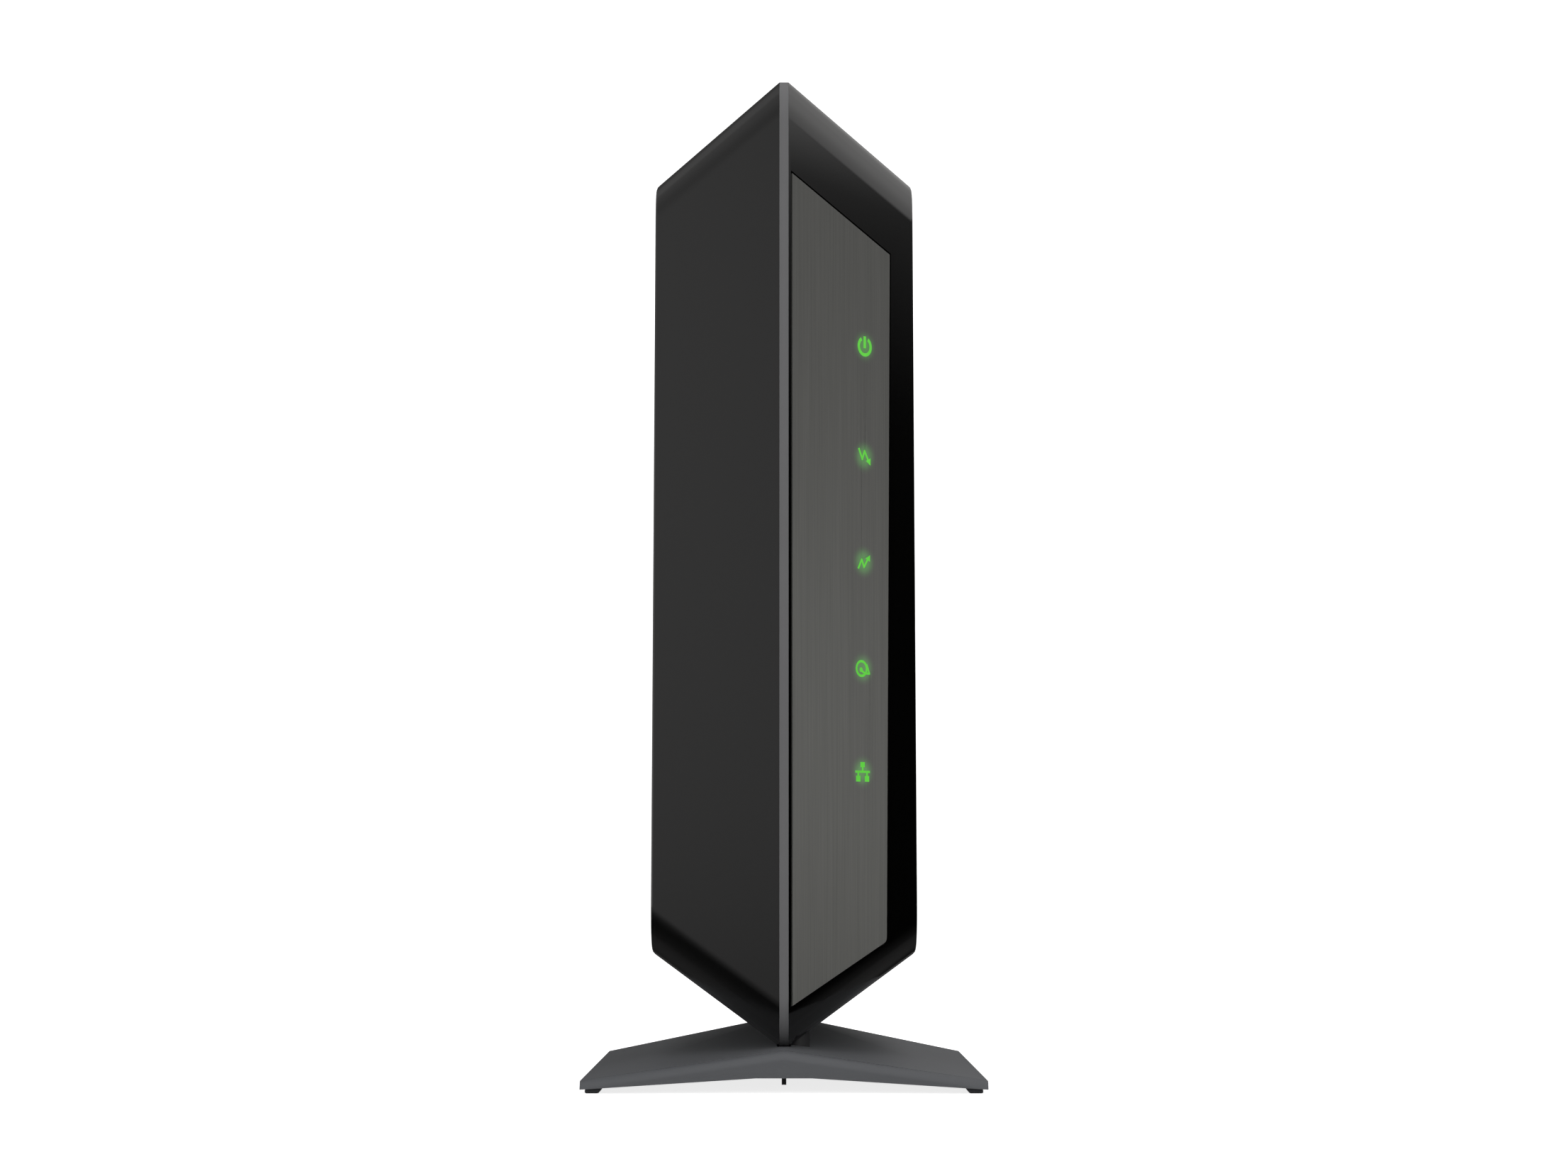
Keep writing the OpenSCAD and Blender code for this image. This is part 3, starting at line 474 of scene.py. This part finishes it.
def solid_boxes(node):
    """Low and high corner of each separate solid in a frame node, lowest first."""
    bm = bmesh.new()
    bm.from_mesh(nodes[node].data)
    bm.transform(nodes[node].matrix_world)
    bmesh.ops.remove_doubles(bm, verts=bm.verts, dist=weld)
    todo = set(bm.verts)
    boxes = []
    while todo:
        island, reached = [], [todo.pop()]
        while reached:
            v = reached.pop()
            island.append(v.co.copy())
            for e in v.link_edges:
                w = e.other_vert(v)
                if w in todo:
                    todo.discard(w)
                    reached.append(w)
        low = Vector([min(p[i] for p in island) for i in range(3)])
        high = Vector([max(p[i] for p in island) for i in range(3)])
        boxes.append((low, high))
    bm.free()
    return sorted(boxes, key=lambda b: tuple(round(b[0][i], 5) for i in (2, 1, 0)))


def symbol_places():
    """Middle of each symbol: solids less than a few millimetres apart are one symbol."""
    groups = []
    for low, high in solid_boxes("icon_lenses"):
        if groups and low.z < groups[-1][1].z:
            a, b = groups[-1]
            groups[-1] = (Vector(map(min, a, low)), Vector(map(max, b, high)))
        else:
            groups.append((low, high))
    return [(a + b) / 2 for a, b in groups]


halo_group, h_in, h_out = new_group(
    "symbol_halo",
    [("Green", "NodeSocketColor", (0.05, 0.30, 0.03, 1))],
    [("Color", "NodeSocketColor")],
)
tree = halo_group
where = tree.nodes.new("ShaderNodeTexCoord")
nearest = None
for place in symbol_places():
    reach = tree.nodes.new("ShaderNodeVectorMath")
    reach.operation = "DISTANCE"
    reach.inputs[1].default_value = place
    tree.links.new(where.outputs["Object"], reach.inputs[0])
    gap = reach.outputs["Value"]
    nearest = gap if nearest is None else join(tree, "MINIMUM", nearest, gap)
fall = ramp(tree, nearest, 1.0 * mm, 4.6 * mm, 1.0, 0.0)
halo = join(tree, "MULTIPLY", fall, fall)
colour_mix = tree.nodes.new("ShaderNodeMix")
colour_mix.data_type = "RGBA"
colour_mix.inputs["A"].default_value = (0, 0, 0, 1)
tree.links.new(halo, colour_mix.inputs["Factor"])
tree.links.new(h_in.outputs["Green"], colour_mix.inputs["B"])
tree.links.new(colour_mix.outputs["Result"], h_out.inputs["Color"])

glow_nodes = brushed_plate.node_tree.nodes
glow_group = glow_nodes.new("ShaderNodeGroup")
glow_group.node_tree = halo_group
glow_group.inputs["Green"].default_value = (0.03, 0.16, 0.02, 1)
plate_shader = glow_nodes["Principled BSDF"]
plate_shader.inputs["Emission Strength"].default_value = 1.0
brushed_plate.node_tree.links.new(glow_group.outputs["Color"], plate_shader.inputs["Emission Color"])
print("symbols:", [[round(v / mm, 1) for v in p] for p in symbol_places()])

# %% [markdown]
# The frame's solids have the right shape but every edge is a knife edge. Real moulded
# and pressed edges have a small radius that catches the light. This helper copies a
# solid's mesh, joins its doubled corners, marks the true edges, and bevels only them.
# Weighted normals then keep the flat faces flat beside their rounded edges.

# %% Helper: refined copy of a frame solid
def all_convex(bm):
    """True when no face has a corner that turns inwards."""
    for face in bm.faces:
        for loop in face.loops:
            before = loop.vert.co - loop.link_loop_prev.vert.co
            after = loop.link_loop_next.vert.co - loop.vert.co
            if before.cross(after).dot(face.normal) < -1e-12:
                return False
    return True


def clean_solid(mesh):
    """Joined corners, and whole flat faces where the solid has no openings in them.

    A flat face with slots or holes in it cannot be one simple polygon, so a solid
    that has any keeps its triangles."""
    bm = bmesh.new()
    bm.from_mesh(mesh)
    bmesh.ops.remove_doubles(bm, verts=bm.verts, dist=weld)
    whole = bm.copy()
    bmesh.ops.dissolve_limit(whole, angle_limit=math.radians(0.6), verts=whole.verts, edges=whole.edges)
    if all_convex(whole):
        bm.free()
        return whole
    whole.free()
    return bm


def refine(node, material, edge, angle=32):
    """A cleaned, soft-edged copy of a frame solid. edge is the bevel in millimetres."""
    mesh = nodes[node].data.copy()
    bm = clean_solid(mesh)
    for face in bm.faces:
        face.smooth = True
    for e in bm.edges:
        e.smooth = len(e.link_faces) == 2 and e.calc_face_angle(0) < math.radians(angle)
    bm.to_mesh(mesh)
    bm.free()
    mesh.materials.clear()
    mesh.materials.append(material)
    piece = bpy.data.objects.new("refined_" + node, mesh)
    bpy.context.scene.collection.objects.link(piece)
    if edge:
        bevel = piece.modifiers.new("soft_edges", "BEVEL")
        bevel.width = edge * mm
        bevel.segments = 2
        bevel.limit_method = "ANGLE"
        bevel.angle_limit = math.radians(angle + 8)
        bevel.use_clamp_overlap = True
        bevel.miter_outer = "MITER_ARC"
    normals = piece.modifiers.new("flat_faces", "WEIGHTED_NORMAL")
    normals.keep_sharp = True
    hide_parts(node)
    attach(piece, nodes[node]["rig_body"])
    return piece


# %% [markdown]
# The case and the stand come first, because they are most of what is seen. The half
# shells bring their own rounded edges from the frame, so they get no bevel here.

# %% Case, band and stand
left_half = refine("left_shell", matt_case, edge=0)
refine("right_shell", gloss_case, edge=0)
refine("centre_band", band_plastic, edge=0.25)
refine("stand", stand_plastic, edge=0.25)
print("left half has", len(left_half.data.polygons), "faces")

# %% [markdown]
# The ports keep the frame's sizes, but some of their shapes are simpler in the frame
# than on the bench. Each of those is built anew here, from sizes read off the frame's
# own solids, so it always sits where the old one sat.

# %% Helper: piece from a mesh
def add_piece(name, bm, material, node, smooth_angle=30):
    """Object from a bmesh in place of a frame solid, riding that solid's body."""
    bmesh.ops.recalc_face_normals(bm, faces=bm.faces)
    for face in bm.faces:
        face.smooth = True
    for e in bm.edges:
        e.smooth = len(e.link_faces) == 2 and e.calc_face_angle(0) < math.radians(smooth_angle)
    mesh = bpy.data.meshes.new(name)
    bm.to_mesh(mesh)
    bm.free()
    mesh.materials.append(material)
    piece = bpy.data.objects.new(name, mesh)
    bpy.context.scene.collection.objects.link(piece)
    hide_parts(node)
    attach(piece, nodes[node]["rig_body"])
    return piece


def circle_points(radius, turns):
    """Points (u, v) round a middle; radius may be a function of the angle."""
    points = []
    for k in range(turns):
        a = 2 * math.pi * k / turns
        r = radius(a) if callable(radius) else radius
        points.append((r * math.cos(a), r * math.sin(a)))
    return points


def skin(bm, rings):
    """Faces between neighbouring rings of points."""
    for p, q in zip(rings, rings[1:]):
        for k in range(len(p)):
            after = (k + 1) % len(p)
            bm.faces.new((p[k], p[after], q[after], q[k]))


def turned(bm, rows, centre, turns=64):
    """Closed skin over rows of (y, radius), with Y as the axis."""
    rings = []
    for y, radius in rows:
        points = circle_points(radius, turns)
        rings.append([bm.verts.new((centre.x + u, y, centre.z + v)) for u, v in points])
    skin(bm, rings + rings[:1])


def soft_box(bm, low, high, edge):
    """Box between two corners with bevelled edges."""
    made = bmesh.ops.create_cube(bm, size=1.0)["verts"]
    size = Vector(high) - Vector(low)
    centre = (Vector(high) + Vector(low)) / 2
    for v in made:
        v.co = v.co * size + centre
    edges = list({e for v in made for e in v.link_edges})
    bmesh.ops.bevel(bm, geom=edges, offset=edge, segments=2, affect="EDGES")


# %% [markdown]
# The coaxial barrel carries a 3/8-32 thread: 0.794 mm per turn and about 0.45 mm deep.
# Its surface is one grid, and the radius of each point depends on the height along the
# barrel and on the angle, so the groove climbs as a true helix and fades out at both ends.

# %% Coaxial jack with its thread
jack_low, jack_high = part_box("coax_jack")
nut_low, nut_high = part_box("coax_nut")
insulator_low, insulator_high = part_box("coax_insulator")
axis = Vector((0, 0, (nut_low.z + nut_high.z) / 2))
barrel_r = 4.76 * mm
root_r = barrel_r - 0.4 * mm
bore_r = (insulator_high.z - insulator_low.z) / 2
pitch = 25.4 / 32 * mm
groove = 0.42 * mm
plain_step = 0.12 * mm
rows_per_turn = 8
start_y = nut_high.y
end_y = jack_high.y
tail_y = nut_low.y - 3 * mm


def thread_radius(y):
    """Radius round the barrel at y, as a function of the angle."""
    fade = max(0.0, min(1.0, (y - start_y) / pitch, (end_y - 0.5 * mm - y) / pitch))

    def radius(a):
        phase = (y / pitch - a / (2 * math.pi)) % 1.0
        step = plain_step if fade == 0 else 0
        return barrel_r - groove * fade * (1 - abs(2 * phase - 1)) - step
    return radius


rows = [(tail_y, bore_r), (tail_y, root_r), (start_y, root_r), (start_y, barrel_r - 0.1 * mm)]
steps = round((end_y - start_y - 0.4 * mm) / (pitch / rows_per_turn))
for k in range(1, steps):
    y = start_y + k * pitch / rows_per_turn
    rows.append((y, thread_radius(y)))
rows += [
    (end_y - 0.35 * mm, barrel_r - 0.2 * mm), (end_y, barrel_r - 0.6 * mm),
    (end_y, bore_r + 0.5 * mm), (end_y - 0.4 * mm, bore_r),
]
bm = bmesh.new()
turned(bm, rows, axis)
soft_box(bm, jack_low, (jack_high.x, nut_low.y - 2.8 * mm, jack_high.z), 0.4 * mm)
add_piece("coax_barrel", bm, nickel, "coax_jack", smooth_angle=50)
print("thread turns:", round((end_y - start_y) / pitch, 1))

# %% [markdown]
# The nut is a hexagon whose corners are turned down by a cone at both faces. The same
# turning helper makes it, with a radius that follows the hexagon or the cone.

# %% Hexagon nut
flat_half = (nut_high.z - nut_low.z) / 2


def hex_radius(inset):
    """Radius of a hexagon whose corners are turned down by a cone, inset from its face."""
    def radius(a):
        b = a % math.radians(60) - math.radians(30)
        return min(flat_half / math.cos(b), flat_half * 1.03 + inset * 1.7)
    return radius


edge_steps = (0.0, 0.15 * mm, 0.3 * mm, 0.5 * mm)
nut_rows = [(nut_low.y, root_r + 0.05 * mm)]
nut_rows += [(nut_low.y + t, hex_radius(t)) for t in edge_steps]
nut_rows += [(nut_high.y - t, hex_radius(t)) for t in reversed(edge_steps)]
nut_rows += [(nut_high.y, root_r + 0.3 * mm), (nut_high.y - 0.25 * mm, root_r + 0.05 * mm)]
bm = bmesh.new()
turned(bm, nut_rows, axis, turns=96)
add_piece("coax_hex_nut", bm, nickel, "coax_nut", smooth_angle=24)
print("nut", round((nut_high.y - nut_low.y) / mm, 2), "mm thick")

# %% [markdown]
# The eight network contacts are sprung wires. Each lies on the floor of the socket near
# its mouth, bends, and rises towards the back, where a plug's blades press on it.

# %% Network contacts
wires_low, wires_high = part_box("network_jack_contacts")
wire_count = 8
wire_w = 0.4 * mm
wire_t = 0.25 * mm
lead_in = 0.6 * mm      # straight stretch at the socket's mouth
bend_r = 2.0 * mm
bend_steps = 6
lean = 13               # degrees
floor_gap = 0.15 * mm


def wire_path():
    """Points (y, height) along one contact, from the mouth to the back."""
    bend_y = wires_high.y - lead_in
    points = [(wires_high.y, 0.05 * mm), (bend_y, 0.0)]
    for k in range(1, bend_steps + 1):
        a = math.radians(lean * k / bend_steps)
        points.append((bend_y - bend_r * math.sin(a), bend_r * (1 - math.cos(a))))
    y, h = points[-1]
    points.append((wires_low.y, h + math.tan(math.radians(lean)) * (y - wires_low.y)))
    return points


bm = bmesh.new()
for i in range(wire_count):
    z0 = wires_low.z + (wires_high.z - wires_low.z - wire_w) * i / (wire_count - 1)
    z1 = z0 + wire_w
    rings = []
    for y, h in wire_path():
        x0 = wires_low.x + floor_gap + h
        x1 = x0 + wire_t
        rings.append([bm.verts.new(p) for p in ((x0, y, z0), (x1, y, z0), (x1, y, z1), (x0, y, z1))])
    skin(bm, rings)
    bm.faces.new(rings[0])
    bm.faces.new(rings[-1])
add_piece("network_contact_wires", bm, gold_flash, "network_jack_contacts")
print("contact wires:", wire_count)

# %% [markdown]
# Screw heads get a domed rim and a cross recess. The head is a grid of rings whose inner
# part follows a cross; the recess narrows as it goes down, as a driver's tip does.

# %% Helper: cross-head screws
def cross_radius(arm, half):
    """Outline of a cross as a radius round its middle: arms of a length and half width."""
    inner = half * math.sqrt(2)

    def radius(a):
        b = abs((a + math.radians(45)) % math.radians(90) - math.radians(45))
        out = min(arm / math.cos(b), half / max(math.sin(b), 1e-6))
        return out if out > inner else inner * 0.98
    return radius


def cross_screw(bm, centre, outward, head_r, head_t, shank_r, shank_l, arm):
    """One screw: dome, recess, head and shank; centre is under the head."""
    spin = Vector((0, 0, 1)).rotation_difference(outward)
    tip = 0.02 * shank_r
    profile = [
        (-shank_l, tip), (-shank_l, shank_r * 0.6), (-shank_l + shank_r, shank_r), (0.0, shank_r),
        (0.0, head_r * 0.97), (head_t * 0.15, head_r), (head_t * 0.55, head_r * 0.98),
        (head_t * 0.85, head_r * 0.86), (head_t, head_r * 0.66), (head_t, cross_radius(arm, arm * 0.3)),
        (head_t * 0.2, cross_radius(arm * 0.55, arm * 0.2)), (head_t * 0.1, tip),
    ]
    rings = []
    for h, radius in profile:
        points = circle_points(radius, 48)
        rings.append([bm.verts.new(centre + spin @ Vector((u, v, h))) for u, v in points])
    skin(bm, rings)
    bm.faces.new(rings[0])
    bm.faces.new(rings[-1])


# %% [markdown]
# Each screw is placed by the box of the plain solid it stands for. The case screws go in
# from the left, the board screws from the right, and the lock screws from below.

# %% Case, board and stand screws
def screws(node, name, material, outward, head_t, shank_r, arm):
    """Cross-head screws in place of the plain ones; the head is at the outward end."""
    along = [abs(v) for v in outward].index(1)
    bm = bmesh.new()
    boxes = solid_boxes(node)
    for low, high in boxes:
        size = high - low
        head_r = min(size[i] for i in range(3) if i != along) / 2
        centre = (low + high) / 2
        centre[along] = high[along] - head_t if outward[along] > 0 else low[along] + head_t
        cross_screw(bm, centre, Vector(outward), head_r, head_t, shank_r, size[along] - head_t, arm)
    add_piece(name, bm, material, node, smooth_angle=40)
    print(name, len(boxes))


screws("case_screws", "case_cross_screws", screw_metal, (-1, 0, 0),
       head_t=2.2 * mm, shank_r=1.4 * mm, arm=1.6 * mm)
screws("board_screws", "board_cross_screws", screw_metal, (1, 0, 0),
       head_t=1.8 * mm, shank_r=1.15 * mm, arm=1.5 * mm)
screws("lock_screws", "lock_cross_screws", black_screw, (0, 0, -1),
       head_t=0.65 * mm, shank_r=1.05 * mm, arm=1.3 * mm)

# %% [markdown]
# All the other solids keep their shape and get soft edges of their own size, in
# millimetres: sharp for boards and chips, round for rubber, knobs and cans. Flat parts
# with many openings, such as the boards and the rear panel, keep their cut edges.

# %% Every other piece
looks = {
    "front_inlay": (brushed_plate, 0.08), "icon_lenses": (lit_symbol, 0),
    "light_guide": (clear_guide, 0.2), "led_board": (solder_mask, 0), "leds": (led_light, 0.15),
    "led_cable": (cable_strip, 0), "led_board_screws": (screw_metal, 0.25),
    "main_board": (solder_mask, 0), "main_chip": (chip_resin, 0.1), "thermal_pad": (gap_pad, 0.05),
    "heat_sink": (sink_metal, 0), "heat_sink_pins": (nylon, 0.4), "memory_chips": (chip_resin, 0.1),
    "flash_chip": (chip_resin, 0.1), "tuner_shield": (tinned, 0.1), "capacitors": (can_sleeve, 0.6),
    "power_coils": (ferrite, 0.7), "crystal": (tinned, 0.8),
    "network_transformer": (chip_resin, 0.2), "coax_insulator": (nylon, 0.1),
    "coax_contact": (gold_flash, 0.1), "coax_washer": (nickel, 0.12),
    "network_jack_shield": (tinned, 0.08), "network_jack_housing": (port_plastic, 0.15),
    "network_jack_lamps": (lamp_clear, 0.15), "power_inlet": (port_plastic, 0.25),
    "power_inlet_pin": (nickel, 0.5), "power_inlet_spring": (tinned, 0.05),
    "power_switch": (port_plastic, 0.2), "power_button": (button_plastic, 0.4),
    "reset_switch": (port_plastic, 0.2), "reset_plunger": (reset_plastic, 0.25),
    "rear_panel": (panel_plastic, 0), "foot_pads": (foot_rubber, 0.3),
    "stand_posts": (post_plastic, 0.2), "lock_discs": (post_plastic, 0.3),
}
for name, (material, edge) in looks.items():
    refine(name, material, edge=edge)
print("frame solids refined:", len(looks))

# %% [markdown]
# The brushed plate is brightest at its foot. A small panel close in front of its lower
# end does that, and light linking keeps it off the stand and the case.

# %% Light for the inlay
foot = Vector((ridge.x + 15 * mm, ridge.y + 15 * mm, band_low.z + 60 * mm))
ahead = foot + Vector((95 * mm, -95 * mm, 0))
inlay_light = softbox("inlay_light", ahead, foot, 60 * mm, 50 * mm, 0.17)
lit_by_it = bpy.data.collections.new("lit_by_inlay_light")
lit_by_it.objects.link(bpy.data.objects["refined_front_inlay"])
inlay_light.light_linking.receiver_collection = lit_by_it

# %% [markdown]
# The finished surfaces must not change the size of the object.

# %% End
import json
